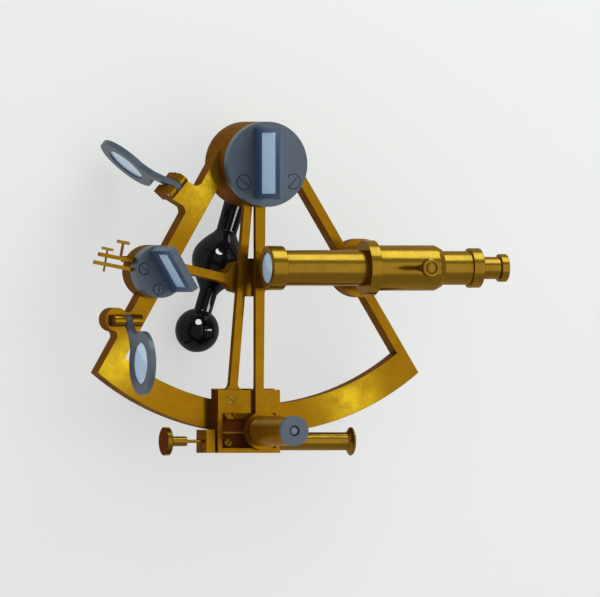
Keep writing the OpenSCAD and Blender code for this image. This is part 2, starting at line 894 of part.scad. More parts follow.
module lower_shade_pin() color("silver") at_lower_pin()
    rod_x(-lower_half, lower_half, pin_r);

module at_horizon() {
    translate([horizon_at[0], horizon_at[1], fz + gap])
        rotate(mirror_deg)
            children();
}
horizon_z = fz + gap + horizon_base_t;
stub_r = 6;
stub_disc_r = 9;
stub_disc_t = 2.4;
rail_h = 11;
rail_w = 3.5;
rebate = 1.7;

module horizon_base() color("slategray") {
    difference() {
        at_horizon()
            cylinder(h = horizon_base_t, r = horizon_r);
        for (p = horizon_screw_at)
            translate([horizon_at[0] + p[0], horizon_at[1] + p[1], horizon_z - sink])
                cylinder(h = 2 * sink, r = horizon_screw_r + sink / 2);
    }
    translate([horizon_at[0], horizon_at[1], back - gap])
        cylinder(h = frame_t + 2 * gap, r = stub_r);
    translate([horizon_at[0], horizon_at[1], back - gap - stub_disc_t])
        cylinder(h = stub_disc_t, r = stub_disc_r);
}

module horizon_frame() color("slategray") at_horizon()
    difference() {
        translate([-horizon_mirror_l / 2, 0, horizon_base_t])
            cube([horizon_mirror_l, mirror_t, horizon_mirror_h]);
        translate([-horizon_mirror_l / 2 + rail_w, -1, horizon_base_t + rail_h])
            cube([horizon_mirror_l - 2 * rail_w, mirror_t + 2, horizon_mirror_h - 2 * rail_h + 1]);
        translate([-horizon_mirror_l / 2 + rail_w - rebate, 1.5, horizon_base_t + rail_h - rebate])
            cube([horizon_mirror_l - 2 * (rail_w - rebate), 2.5, horizon_mirror_h]);
    }

module horizon_glass() color("lightsteelblue") at_horizon()
    translate([-horizon_mirror_l / 2 + rail_w - rebate, 1.5, horizon_base_t + rail_h - rebate])
        cube([horizon_mirror_l - 2 * (rail_w - rebate), 2.5, horizon_mirror_h - rail_h + rebate]);

module horizon_screws() color("slategray")
    for (p = horizon_screw_at)
        translate([horizon_at[0] + p[0], horizon_at[1] + p[1], horizon_z - sink])
            screw_head(horizon_screw_r, screw_t, p[2]);

// The two tongues of the adjuster and the screws that work between them
tongue_deg = 169.5;
tongue_z = fz + 4.6;
tongue_t = 3;
module at_tongue() {
    translate([horizon_at[0], horizon_at[1], tongue_z])
        rotate(tongue_deg)
            children();
}
tongue_lo = 2.2;
tongue_up = -4.4;
foot_drop = 10;
adjust_s = 42;
lock_s = 30.6;
tongue_w = 2.8;
tongue_end = 51;
adjuster_l = 16.2;
module adjuster_tongue() color("darkgoldenrod") at_tongue()
    difference() {
        translate([horizon_r - 3, tongue_lo - tongue_w / 2, 0])
            cube([tongue_end - horizon_r + 3, tongue_w, tongue_t]);
        translate([0, 0, -1])
            cylinder(h = tongue_t + 2, r = horizon_r);
        translate([adjust_s, 0, tongue_t / 2])
            rotate([-90, 0, 0])
                cylinder(h = 20, r = 1.0);
    }

module fixed_tongue() color("darkgoldenrod") {
    at_tongue() {
        difference() {
            union() {
                translate([horizon_r, tongue_up - tongue_w / 2, 0])
                    cube([tongue_end - horizon_r - 2.6, tongue_w, tongue_t]);
                translate([horizon_r - 1.6, tongue_up - 3, fz - tongue_z - foot_drop])
                    cube([6, 4.4, foot_drop + tongue_z - fz + tongue_t]);
            }
            translate([0, 0, fz - tongue_z - foot_drop - 1])
                cylinder(h = 40, r = horizon_r + 0.6);
            translate([adjust_s, -20, tongue_t / 2])
                rotate([-90, 0, 0])
                    cylinder(h = 40, r = 0.8 + fit);
        }
    }
}

module adjuster_screw() color("darkgoldenrod") at_tongue()
    translate([adjust_s, tongue_up - 4, tongue_t / 2])
        rotate([-90, 0, 0]) {
            cylinder(h = adjuster_l, r = 0.8);
            translate([-4.5, -1, -2])
                cube([9, 2, 2]);
        }

module locking_screw() color("darkgoldenrod") at_tongue()
    translate([lock_s, tongue_up - 11, tongue_t / 2])
        rotate([-90, 0, 0]) {
            cylinder(h = 11 - tongue_w / 2, r = 1.1);
            translate([-4.8, -1.2, -2.4])
                cube([9.6, 2.4, 2.4]);
        }

frame();
bearing_housing();
handle_bracket();
handle();
handle_pillar();
handle_screw();
apex_leg();
arc_legs();
index_arm();
spindle();
spindle_nut();
vernier_box();
vernier_plate();
box_screws();
index_base();
index_mirror_frame();
index_mirror();
index_back_plate();
index_screws();
spring_barrel();
barrel_cap();
counter_spring();
clamp_block();
clamp_screw();
tangent_screw();
tangent_knob();
lens_arm();
microscope_tube();
microscope_lens();
eye_disc();
telescope_ring();
main_tube();
objective_cell();
objective_lens();
rear_tube();
draw_tube();
eyepiece();
eye_lens();
eye_cap();
focus_screw();
raising_nut();
upper_shade_ring();
upper_shade_glass();
upper_shade_pin();
lower_shade_ring();
lower_shade_glass();
lower_shade_pin();
horizon_base();
horizon_frame();
horizon_glass();
horizon_screws();
adjuster_tongue();
fixed_tongue();
adjuster_screw();
locking_screw();
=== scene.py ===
import json
import math

import bpy
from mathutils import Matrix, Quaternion, Vector


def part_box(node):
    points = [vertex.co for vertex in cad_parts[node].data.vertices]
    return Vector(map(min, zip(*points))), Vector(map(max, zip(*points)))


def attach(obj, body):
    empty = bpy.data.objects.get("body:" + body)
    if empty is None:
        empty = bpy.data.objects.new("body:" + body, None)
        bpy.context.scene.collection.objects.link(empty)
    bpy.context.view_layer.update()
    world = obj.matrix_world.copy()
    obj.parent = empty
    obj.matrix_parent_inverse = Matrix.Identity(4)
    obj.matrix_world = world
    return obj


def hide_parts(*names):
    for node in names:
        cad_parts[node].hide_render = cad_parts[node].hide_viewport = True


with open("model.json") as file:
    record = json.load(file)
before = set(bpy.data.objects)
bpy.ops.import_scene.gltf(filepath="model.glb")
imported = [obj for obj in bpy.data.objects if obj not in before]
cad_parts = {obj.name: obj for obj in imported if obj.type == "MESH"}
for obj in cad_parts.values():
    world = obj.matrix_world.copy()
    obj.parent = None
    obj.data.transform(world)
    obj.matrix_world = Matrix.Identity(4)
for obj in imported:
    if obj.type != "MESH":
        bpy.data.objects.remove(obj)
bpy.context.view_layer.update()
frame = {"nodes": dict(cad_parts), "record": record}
nodes = frame["nodes"]
body_of = {name: body for body, names in frame["record"]["behaviour"]["bodies"].items() for name in names}

# Camera
# The picture looks at the instrument's face, level with it and from 20 degrees to its left.
# Circles that face the viewer stay circles there, so the camera's rays are parallel.
VIEW_TURN = math.radians(20)
PICTURE_WIDTH = 0.450
FACE_HEIGHT = 0.076
PICTURE_MIDDLE = Vector((0.0334, -0.1007, FACE_HEIGHT))
towards_viewer = Vector((-math.sin(VIEW_TURN), 0, math.cos(VIEW_TURN)))

bpy.ops.object.camera_add(location=PICTURE_MIDDLE + towards_viewer, rotation=(0, -VIEW_TURN, 0))
camera = bpy.context.object
camera.name = "camera"
camera.data.type = "ORTHO"
camera.data.ortho_scale = PICTURE_WIDTH
bpy.context.scene.camera = camera
bpy.context.scene.view_settings.view_transform = "Standard"

# Studio
# A pale floor under the three legs, and a pale surround that metal and glass mirror.
# Broad softboxes overhead and beyond the apex; the other lamps stand with the pieces they are for.
FLOOR_SIDE = 6.0
FLOOR_GLOW = 0.6


def linear(code):
    """Turns a hex colour, as a screen shows it, into the linear values that a shader takes."""
    parts = [int(code[i:i + 2], 16) / 255 for i in (1, 3, 5)]
    return [p / 12.92 if p <= 0.04045 else ((p + 0.055) / 1.055) ** 2.4 for p in parts] + [1]


def add(tree, kind, inputs, **settings):
    """Adds a node; an input is either a value or the output of another node."""
    node = tree.nodes.new("ShaderNode" + kind)
    for name, value in settings.items():
        setattr(node, name, value)
    for key, value in inputs.items():
        if isinstance(value, bpy.types.NodeSocket):
            tree.links.new(value, node.inputs[key])
        else:
            node.inputs[key].default_value = value
    return node


def pale_where_seen(tree, light, seen):
    """Mixes a shader that lights the object with a plain one for what the eye and polished metal see."""
    path = add(tree, "LightPath", {})
    shown = add(tree, "Math", {0: path.outputs["Is Camera Ray"], 1: path.outputs["Is Glossy Ray"]},
                operation="MAXIMUM")
    shown = add(tree, "Math", {0: shown.outputs[0], 1: path.outputs["Is Transmission Ray"]},
                operation="MAXIMUM")
    return add(tree, "MixShader", {0: shown.outputs[0], 1: light, 2: seen})


world = bpy.data.worlds.new("studio")
bpy.context.scene.world = world
world.use_nodes = True
tree = world.node_tree
tree.nodes.clear()
soft = add(tree, "Background", {"Color": linear("#FFFFFF"), "Strength": 0.75})
surround = add(tree, "Background", {"Color": linear("#E4E4E2"), "Strength": 0.8})
mixed = pale_where_seen(tree, soft.outputs[0], surround.outputs[0])
add(tree, "OutputWorld", {"Surface": mixed.outputs[0]})

# Matt paper that glows where it is seen, so that it looks pale and shadows on it stay faint.
bpy.ops.mesh.primitive_plane_add(size=FLOOR_SIDE, location=(0, 0, 0))
floor = bpy.context.object
floor.name = "floor"
paper = bpy.data.materials.new("pale_floor")
paper.use_nodes = True
tree = paper.node_tree
tree.nodes.clear()
matt = add(tree, "BsdfDiffuse", {"Color": linear("#E6E6E3")})
glow = add(tree, "Emission", {"Color": linear("#EBEBEA"), "Strength": 1.0})
glowing = add(tree, "MixShader", {0: FLOOR_GLOW, 1: matt.outputs[0], 2: glow.outputs[0]})
mixed = pale_where_seen(tree, matt.outputs[0], glowing.outputs[0])
add(tree, "OutputMaterial", {"Surface": mixed.outputs[0]})
floor.data.materials.append(paper)


def lamp(name, middle, direction, distance, size, brightness, colour="#FFFFFF", slant=0.0):
    """An area lamp that faces a point: a disc for one size, a rectangle for two. Brightness 1 is as
    bright as white paper."""
    away = Vector(direction).normalized()
    bpy.ops.object.light_add(type="AREA", location=Vector(middle) + away * distance)
    light = bpy.context.object
    light.name = name
    light.rotation_mode = "QUATERNION"
    light.rotation_quaternion = away.to_track_quat("Z", "Y") @ Quaternion((0, 0, 1), slant)
    light.data.color = linear(colour)[:3]
    light.data.shape = "RECTANGLE" if len(size) == 2 else "DISK"
    light.data.size = size[0]
    area = math.pi * (size[0] / 2) ** 2
    if len(size) == 2:
        light.data.size_y = size[1]
        area = size[0] * size[1]
    light.data.energy = brightness * math.pi * area
    light.visible_camera = False
    return light


# The way that the camera's rays leave the polished face.
MIRRORED = (math.sin(VIEW_TURN), 0, math.cos(VIEW_TURN))
lamp("overhead_softbox", PICTURE_MIDDLE, MIRRORED, distance=1.5, size=(1.5, 1.1), brightness=1.1)
lamp("apex_softbox", PICTURE_MIDDLE, (0.342, 0.91, 0.22), distance=1.3, size=(0.7, 1.1), brightness=5.6,
     colour="#E4FFF4")

# Frame casting
# Cast brass: the face is scraped, polished and lacquered, and its sides are darker, partly as cast and
# partly as painted shade.
# The bearing housing, the handle's bracket and pillar and the legs are screwed to its back.
CASTING_EDGE = 0.0005
FITTING_EDGE = 0.0003
# How wide a cloud of tarnish and a speck are.
TARNISH_CLOUD = 0.0143
SAND_SPECK = 0.000667
# The angles between two faces below which they are shaded as one and above which their edge is eased.
SMOOTH_BELOW = math.radians(32)
EASED_ABOVE = math.radians(35)
MERGED_WITHIN = 0.000002
FLAT_WITHIN = math.radians(0.6)
# A face lies level where its normal points up or down by more than this.
LEVEL = 0.7


def start_finish(name, looks):
    """Starts a material and sets the looks that are the same all over it."""
    material = bpy.data.materials.new(name)
    material.use_nodes = True
    shader = material.node_tree.nodes["Principled BSDF"]
    for key, value in looks.items():
        shader.inputs[key].default_value = value
    return material


def brass(name, clean, tarnished, roughness, lacquer=0.0, metallic=0.85):
    """Aged brass: brown tarnish in clouds of 14 mm, and specks of 0.7 mm left by the sand or the file.
    Under its old film it keeps its brown at a glancing angle, and its dull parts are less metallic."""
    metal = start_finish(name, {"Metallic": metallic, "Specular Tint": linear("#E5CCBA"),
                                "Specular IOR Level": 0.0, "Coat Weight": lacquer,
                                "Coat Roughness": 0.15})
    tree = metal.node_tree
    shader = tree.nodes["Principled BSDF"]
    place = add(tree, "TexCoord", {})
    clouds = add(tree, "TexNoise", {"Vector": place.outputs["Object"], "Scale": 1 / TARNISH_CLOUD,
                                    "Detail": 5, "Roughness": 0.6})
    specks = add(tree, "TexNoise", {"Vector": place.outputs["Object"], "Scale": 1 / SAND_SPECK,
                                    "Detail": 2, "Roughness": 0.7})
    amount = add(tree, "Math", {0: clouds.outputs["Fac"], 1: specks.outputs["Fac"]}, operation="MULTIPLY")
    amount = add(tree, "MapRange", {"Value": amount.outputs[0], "From Min": 0.12, "From Max": 0.45})
    colour = add(tree, "Mix", {0: amount.outputs[0], 6: linear(clean), 7: linear(tarnished)},
                 data_type="RGBA")
    rough = add(tree, "MapRange", {"Value": clouds.outputs["Fac"], "From Min": 0.3, "From Max": 0.7,
                                   "To Min": roughness - 0.04, "To Max": roughness + 0.06})
    bump = add(tree, "Bump", {"Height": specks.outputs["Fac"], "Strength": 0.05, "Distance": 0.00005})
    tree.links.new(colour.outputs[2], shader.inputs["Base Color"])
    tree.links.new(rough.outputs[0], shader.inputs["Roughness"])
    tree.links.new(bump.outputs[0], shader.inputs["Normal"])
    return metal


def settle(piece, node):
    """Lets a finished piece stand for its solid: it rides on the same body, and the solid is hidden."""
    bpy.ops.object.shade_smooth_by_angle(angle=SMOOTH_BELOW)
    even = piece.modifiers.new("even", "WEIGHTED_NORMAL")
    even.keep_sharp = True
    bpy.ops.object.modifier_apply(modifier="even")
    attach(piece, body_of[node])
    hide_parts(node)
    return piece


def ease_edges(piece, width, segments=2):
    """Breaks the sharp edges, as a file or the lathe leaves them."""
    ease = piece.modifiers.new("ease", "BEVEL")
    ease.width = width
    ease.segments = segments
    ease.limit_method = "ANGLE"
    ease.angle_limit = EASED_ABOVE
    bpy.ops.object.modifier_apply(modifier="ease")


def on_side(face):
    return abs(face.normal.z) < LEVEL


def finish_copy(node, material, edge=0, second=None, second_where=on_side):
    """Dresses a copy of a solid: flat faces joined, edges eased, and a second finish on some faces."""
    bpy.ops.object.select_all(action="DESELECT")
    piece = bpy.data.objects.new(node + "_finished", nodes[node].data.copy())
    bpy.context.scene.collection.objects.link(piece)
    bpy.context.view_layer.objects.active = piece
    piece.select_set(True)
    piece.data.materials.clear()
    piece.data.materials.append(material)
    bpy.ops.object.mode_set(mode="EDIT")
    bpy.ops.mesh.select_all(action="SELECT")
    bpy.ops.mesh.remove_doubles(threshold=MERGED_WITHIN)
    bpy.ops.mesh.dissolve_limited(angle_limit=FLAT_WITHIN)
    bpy.ops.object.mode_set(mode="OBJECT")
    if second:
        piece.data.materials.append(second)
        for face in piece.data.polygons:
            face.material_index = int(second_where(face))
    if edge:
        ease_edges(piece, edge)
    return settle(piece, node)


# Scraped and polished brass: smooth and brown yellow, and it mirrors the daylight with soft edges.
scraped_brass = brass("scraped_brass", "#815B0B", "#6C4A08", roughness=0.17)
# Brass as it left the sand, darkened further as painted shade: dull and reddish brown, with no mirror
# images.
cast_and_shaded_sides = brass("cast_and_shaded_brass_sides", "#784C10", "#55310F", roughness=0.45, metallic=0.6)
casting = finish_copy("frame", scraped_brass, CASTING_EDGE, cast_and_shaded_sides)
for name in ("bearing_housing", "handle_bracket", "handle_pillar", "handle_screw", "apex_leg", "arc_legs",
             "fixed_tongue"):
    finish_copy(name, scraped_brass, FITTING_EDGE, cast_and_shaded_sides)


def shine_only_on(light, piece):
    """Links a lamp to one piece, so that it draws a highlight there and lights nothing else."""
    alone = bpy.data.collections.new(light.name + "_shines_on")
    alone.objects.link(piece)
    light.light_linking.receiver_collection = alone
    light.light_linking.blocker_collection = alone


# Three panes of daylight, which the flat brass mirrors as bright patches with slanting edges.
PANE_DISTANCE = 0.22
PANE_SLANT = math.radians(30)
PANE_BRIGHTNESS = 8.5
for name, place, size in (("arc_pane_left", (-0.1215, -0.1560), (0.024, 0.060)),
                          ("arc_pane_right", (0.0740, -0.1750), (0.024, 0.034)),
                          ("bar_pane", (-0.0450, -0.0225), (0.019, 0.034))):
    pane = lamp(name, (*place, FACE_HEIGHT), MIRRORED, PANE_DISTANCE, size, PANE_BRIGHTNESS,
                colour="#B4E2FF", slant=PANE_SLANT)
    shine_only_on(pane, casting)

# Handle
# Ebony or ebonised hardwood, turned in one piece and polished until it mirrors the lamps.
# It is pinned to the bracket at the apex and to the pillar at its waist.
HANDLE_LEAN = math.radians(17.6)
GRAIN_WIDTH = 0.00111
GRAIN_LENGTH = 0.025

# Polish over a nearly black wood: the lamps show as sharp bright shapes, and the grain hardly shows.
ebony = start_finish("polished_ebony", {"Roughness": 0.4, "Specular IOR Level": 0.0,
                                        "Coat Weight": 0.3, "Coat Roughness": 0.04})
tree = ebony.node_tree
shader = tree.nodes["Principled BSDF"]
place = add(tree, "TexCoord", {})
along = add(tree, "Mapping", {"Vector": place.outputs["Object"], "Rotation": (0, 0, HANDLE_LEAN),
                              "Scale": (1 / GRAIN_WIDTH, 1 / GRAIN_LENGTH, 1 / GRAIN_WIDTH)})
grain = add(tree, "TexNoise", {"Vector": along.outputs[0], "Scale": 1.0, "Detail": 4})
colour = add(tree, "Mix", {0: grain.outputs["Fac"], 6: linear("#010102"), 7: linear("#050404")},
             data_type="RGBA")
tree.links.new(colour.outputs[2], shader.inputs["Base Color"])
grip = finish_copy("handle", ebony)

# Two lamps for the polish to mirror: a round one beyond the apex, and a tall strip at the right.
round_lamp = lamp("round_lamp", PICTURE_MIDDLE, (-0.164, 0.70, 0.69), distance=1.2, size=(0.7,),
                  brightness=60.0)
shine_only_on(round_lamp, grip)
side_strip = lamp("side_strip", PICTURE_MIDDLE, (0.643, 0.0, 0.766), distance=1.2, size=(0.16, 1.0),
                  brightness=30.0)
shine_only_on(side_strip, grip)

# Index arm
# One brass casting with a round head and two legs, and the box for the vernier at its foot.
# The box is open in front, and the plate in it carries the vernier on its lower edge.
ARM_EDGE = 0.0004
SCREW_EDGE = 0.0002
CRISP_EDGE = 0.0001
WINDOW_DEPTH = 0.004
PLATE_BEVEL = 0.0011
NEAR = 0.00001
# A face leans a way where its normal points there by more than this.
SLANTED = 0.3
box_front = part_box("vernier_box")[1][2]

# Lathe-turned brass under a thin lacquer: bright, with a clear line of light along each round.
turned_brass = brass("turned_brass", "#80600E", "#6C4E0B", roughness=0.2, lacquer=0.15)
# Brass rubbed with a fine stone: a broad, even sheen.
satin_brass = brass("satin_brass", "#8A600B", "#724C0A", roughness=0.26, metallic=0.5)
# Brass painted as shade, for recesses and for faces turned from the light: a dark red brown.
painted_shade_brass = brass("shaded_brass", "#663412", "#4A230C", roughness=0.5, metallic=0.3)
# A painted highlight along the plate's bevelled lower edge: a pale yellow line.
painted_highlight_edge = brass("painted_highlight_brass", "#C09A38", "#A8822C", roughness=0.3, metallic=0.3)


# Picks the box's sides and the faces deep in its window, which get the brass painted as shade.
def inside_window(face):
    return on_side(face) or face.center.z < box_front - WINDOW_DEPTH


# The arm's sides are cast brass, darkened partly as painted shade.
finish_copy("index_arm", scraped_brass, ARM_EDGE, cast_and_shaded_sides)
finish_copy("vernier_box", scraped_brass, ARM_EDGE, painted_shade_brass, inside_window)
finish_copy("box_screws", turned_brass, SCREW_EDGE)
finish_copy("spindle_nut", turned_brass, FITTING_EDGE)


def half_way(low, high):
    return [(a + b) / 2 for a, b in zip(low, high)]


def start_block(name, low, high):
    """Adds a block between two corners, ready to be shaped in edit mode."""
    bpy.ops.object.select_all(action="DESELECT")
    bpy.ops.mesh.primitive_cube_add(size=1, location=half_way(low, high))
    block = bpy.context.object
    block.name = name
    block.scale = [b - a for a, b in zip(low, high)]
    bpy.ops.object.transform_apply(location=True, rotation=True, scale=True)
    return block


def select_edges(piece, wanted):
    """Selects, in edit mode, the edges whose two ends both pass a test."""
    bpy.ops.object.mode_set(mode="EDIT")
    bpy.ops.mesh.select_mode(type="EDGE")
    bpy.ops.mesh.select_all(action="DESELECT")
    bpy.ops.object.mode_set(mode="OBJECT")
    for edge in piece.data.edges:
        edge.select = all(wanted(piece.data.vertices[v].co) for v in edge.vertices)
    bpy.ops.object.mode_set(mode="EDIT")


plate_low, plate_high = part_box("vernier_plate")
plate = start_block("vernier_plate_bevelled", plate_low, plate_high)
select_edges(plate, lambda co: co.y < plate_low[1] + NEAR and co.z > plate_high[2] - NEAR)
bpy.ops.mesh.bevel(offset=PLATE_BEVEL, segments=1)
bpy.ops.object.mode_set(mode="OBJECT")
# The plate is brass painted as shade, and its bevelled lower edge carries the painted highlight.
plate.data.materials.append(painted_shade_brass)
plate.data.materials.append(painted_highlight_edge)
for face in plate.data.polygons:
    face.material_index = int(face.normal.y < -SLANTED and face.normal.z > SLANTED)
ease_edges(plate, CRISP_EDGE, segments=1)
settle(plate, "vernier_plate")

# The box's window has a sloping lintel over the plate, and a short strut braces its corner.
WINDOW_TOP = -0.1870
LINTEL_FOOT = -0.1912
LINTEL_LEFT, LINTEL_RIGHT = -0.0256, -0.0050
LINTEL_SLOPE = 0.0030
STRUT_LEFT, STRUT_RIGHT = -0.0324, -0.0274
STRUT_LEAN = 0.0024
BRACE_BACK = box_front - 0.0036
BRACE_FRONT = box_front - 0.0001
lintel = start_block("window_lintel", (LINTEL_LEFT, LINTEL_FOOT, BRACE_BACK),
                     (LINTEL_RIGHT, WINDOW_TOP, BRACE_FRONT))
select_edges(lintel, lambda co: co.y < LINTEL_FOOT + NEAR and co.z > BRACE_FRONT - NEAR)
bpy.ops.transform.translate(value=(0, 0, -LINTEL_SLOPE))
bpy.ops.object.mode_set(mode="OBJECT")
strut = start_block("window_strut", (STRUT_LEFT, LINTEL_FOOT, BRACE_BACK),
                    (STRUT_RIGHT, WINDOW_TOP, BRACE_FRONT))
select_edges(strut, lambda co: co.y < LINTEL_FOOT + NEAR)
bpy.ops.transform.translate(value=(STRUT_LEAN, 0, 0))
bpy.ops.object.mode_set(mode="OBJECT")
for piece in (lintel, strut):
    bpy.ops.object.select_all(action="DESELECT")
    piece.select_set(True)
    bpy.context.view_layer.objects.active = piece
    piece.data.materials.append(satin_brass)
    ease_edges(piece, CRISP_EDGE, segments=1)
    bpy.ops.object.shade_smooth_by_angle(angle=SMOOTH_BELOW)
    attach(piece, body_of["vernier_box"])

# Clamp and tangent screw
# The block holds the nut of the tangent screw, whose knob is milled round its rim.
# The barrel beyond the box hides the counter spring and ends in a flared cap. All are brass.
GROOVE_WALL = 0.00012
RIM_WITHIN = 0.0004
OUTWARD_WITHIN = 0.1
ALONG_SCREW = (1, 0, 0)


def turn(name, steps, foot, towards, material, sides=64):
    """Turns a piece on the lathe from (height, radius) steps along its axis, with its foot at a point."""
    bpy.ops.object.select_all(action="DESELECT")
    bpy.ops.mesh.primitive_circle_add(vertices=sides, radius=steps[0][1], fill_type="NGON")
    piece = bpy.context.object
    piece.name = name
    bpy.ops.object.mode_set(mode="EDIT")
    bpy.ops.mesh.select_all(action="SELECT")
    bpy.ops.transform.translate(value=(0, 0, steps[0][0]))
    for (low, before), (high, after) in zip(steps, steps[1:]):
        bpy.ops.mesh.extrude_region_move(TRANSFORM_OT_translate={"value": (0, 0, high - low)})
        bpy.ops.transform.resize(value=(after / before, after / before, 1), center_override=(0, 0, high))
    bpy.ops.mesh.select_all(action="SELECT")
    bpy.ops.mesh.normals_make_consistent(inside=False)
    bpy.ops.object.mode_set(mode="OBJECT")
    piece.data.materials.append(material)
    piece.rotation_mode = "QUATERNION"
    piece.rotation_quaternion = Vector(towards).to_track_quat("Z", "Y")
    piece.location = foot
    bpy.ops.object.transform_apply(location=True, rotation=True, scale=True)
    return piece


def mill_rim(piece, foot, axis, radius, depth):
    """Cuts the fine grooves of a milled rim: each of its faces is pressed in between two thin walls."""
    bpy.ops.object.mode_set(mode="EDIT")
    bpy.ops.mesh.select_mode(type="FACE")
    bpy.ops.mesh.select_all(action="DESELECT")
    bpy.ops.object.mode_set(mode="OBJECT")
    axis = Vector(axis)
    for face in piece.data.polygons:
        out = face.center - Vector(foot)
        out = out - axis * out.dot(axis)
        face.select = out.length > radius - RIM_WITHIN and abs(face.normal.dot(axis)) < OUTWARD_WITHIN
    bpy.ops.object.mode_set(mode="EDIT")
    bpy.ops.mesh.inset(thickness=GROOVE_WALL, depth=-depth, use_individual=True)
    bpy.ops.object.mode_set(mode="OBJECT")


# The block's sides are cast brass, darkened partly as painted shade.
finish_copy("clamp_block", scraped_brass, ARM_EDGE, cast_and_shaded_sides)
for name in ("clamp_screw", "tangent_screw", "spring_barrel"):
    finish_copy(name, turned_brass, ARM_EDGE)

# The knob's left face is dished, and its rim has bevelled corners and 72 grooves.
knob_low, knob_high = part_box("tangent_knob")
knob_foot = (knob_low[0], *half_way(knob_low, knob_high)[1:])
KNOB_LENGTH = knob_high[0] - knob_low[0]
KNOB_RADIUS = (knob_high[1] - knob_low[1]) / 2
KNOB_MIDDLE = 0.004
KNOB_BACK = 0.0045
KNOB_DISH = 0.0004
KNOB_CORNER = 0.0006
KNOB_LAND = KNOB_RADIUS - 0.0010
DISH_LOW = KNOB_RADIUS - 0.0045
DISH_RIM = KNOB_RADIUS - 0.0035
knob = turn("tangent_knob_milled",
            [(KNOB_DISH, KNOB_MIDDLE), (KNOB_DISH, DISH_LOW), (0, DISH_RIM), (0, KNOB_LAND),
             (KNOB_CORNER, KNOB_RADIUS), (KNOB_LENGTH - KNOB_CORNER, KNOB_RADIUS),
             (KNOB_LENGTH, KNOB_LAND), (KNOB_LENGTH, KNOB_BACK)],
            knob_foot, ALONG_SCREW, turned_brass, sides=72)
mill_rim(knob, knob_foot, ALONG_SCREW, KNOB_RADIUS, depth=0.0004)
# The faces turned to the left get the brass painted as shade.
knob.data.materials.append(painted_shade_brass)
for face in knob.data.polygons:
    face.material_index = int(face.normal.x < -SLANTED)
settle(knob, "tangent_knob")

# The cap grows from the barrel in a curved flare, ends in a rim, and is slightly hollow at its end.
cap_low, cap_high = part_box("barrel_cap")
cap_foot = (cap_low[0], *half_way(cap_low, cap_high)[1:])
barrel_low, barrel_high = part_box("spring_barrel")
NECK_RADIUS = (barrel_high[1] - barrel_low[1]) / 2
CAP_LENGTH = cap_high[0] - cap_low[0]
CAP_RADIUS = (cap_high[1] - cap_low[1]) / 2
CAP_CORNER = 0.0005
CAP_RIM_START = 0.0033
HOLLOW_RIM = CAP_RADIUS - 0.0028
HOLLOW_RADIUS = CAP_RADIUS - 0.0034
FLARE = [(0.0008, 0.0004), (0.0018, 0.0013), (0.0026, 0.0026)]
cap = turn("barrel_cap_flared",
           [(0, NECK_RADIUS), *((height, NECK_RADIUS + spread) for height, spread in FLARE),
            (CAP_RIM_START - 0.0004, CAP_RADIUS - 0.0003), (CAP_RIM_START, CAP_RADIUS),
            (CAP_LENGTH - CAP_CORNER, CAP_RADIUS), (CAP_LENGTH, CAP_RADIUS - CAP_CORNER),
            (CAP_LENGTH, HOLLOW_RIM), (CAP_LENGTH - CAP_CORNER, HOLLOW_RADIUS)],
           cap_foot, ALONG_SCREW, turned_brass)
settle(cap, "barrel_cap")

# Reading microscope
# A cranked brass arm that turns on the index arm's hub and holds a short tube over the vernier.
# A small smoked glass closes the hole in the eye disc.
TUBE_EDGE = 0.0006
EYE_GLASS_RADIUS = 0.0031
EYE_GLASS_SIDE = 0.0012
EYE_GLASS_HEIGHT = 0.0020
EYE_GLASS_DEPTH = 0.0024
EYE_GLASS_SMOOTH_BELOW = math.radians(40)

# Smoked glass over a dark tube: no light comes through, so it is a blue gray with a small highlight.
smoked_glass = start_finish("smoked_glass", {"Base Color": linear("#586674"), "Roughness": 0.12})
# The arm's sides are cast brass, darkened partly as painted shade.
finish_copy("lens_arm", scraped_brass, ARM_EDGE, cast_and_shaded_sides)
tube = finish_copy("microscope_tube", satin_brass, TUBE_EDGE)

# A lamp low behind the tube, which shows on it as a pale band.
tube_middle = half_way(*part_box("microscope_tube"))
band_lamp = lamp("tube_band_lamp", tube_middle, (-0.08, 0.33, -0.94), distance=0.6, size=(0.24, 0.07),
                 brightness=9.0, colour="#CDEEFF")
shine_only_on(band_lamp, tube)

eye_low, eye_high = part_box("eye_disc")
eye_glass = turn("eye_glass",
                 [(0, EYE_GLASS_RADIUS), (EYE_GLASS_SIDE, EYE_GLASS_RADIUS),
                  (EYE_GLASS_HEIGHT - 0.0004, EYE_GLASS_RADIUS - 0.0005),
                  (EYE_GLASS_HEIGHT - 0.0001, EYE_GLASS_RADIUS * 0.55),
                  (EYE_GLASS_HEIGHT, EYE_GLASS_RADIUS * 0.2)],
                 (*half_way(eye_low, eye_high)[:2], eye_high[2] - EYE_GLASS_DEPTH), (0, 0, 1),
                 smoked_glass, sides=48)
bpy.ops.object.shade_smooth_by_angle(angle=EYE_GLASS_SMOOTH_BELOW)
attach(eye_glass, body_of["eye_disc"])

# Telescope
# Drawn and turned brass tubes that screw into a ring, with a milled focusing screw on top.
# The ring's square stem is raised and lowered by the milled nut behind the frame.
RING_EDGE = 0.0009
for name in ("telescope_ring", "objective_cell", "rear_tube", "draw_tube"):
    finish_copy(name, turned_brass, RING_EDGE)
for name in ("main_tube", "eyepiece", "eye_cap"):
    finish_copy(name, turned_brass, TUBE_EDGE)

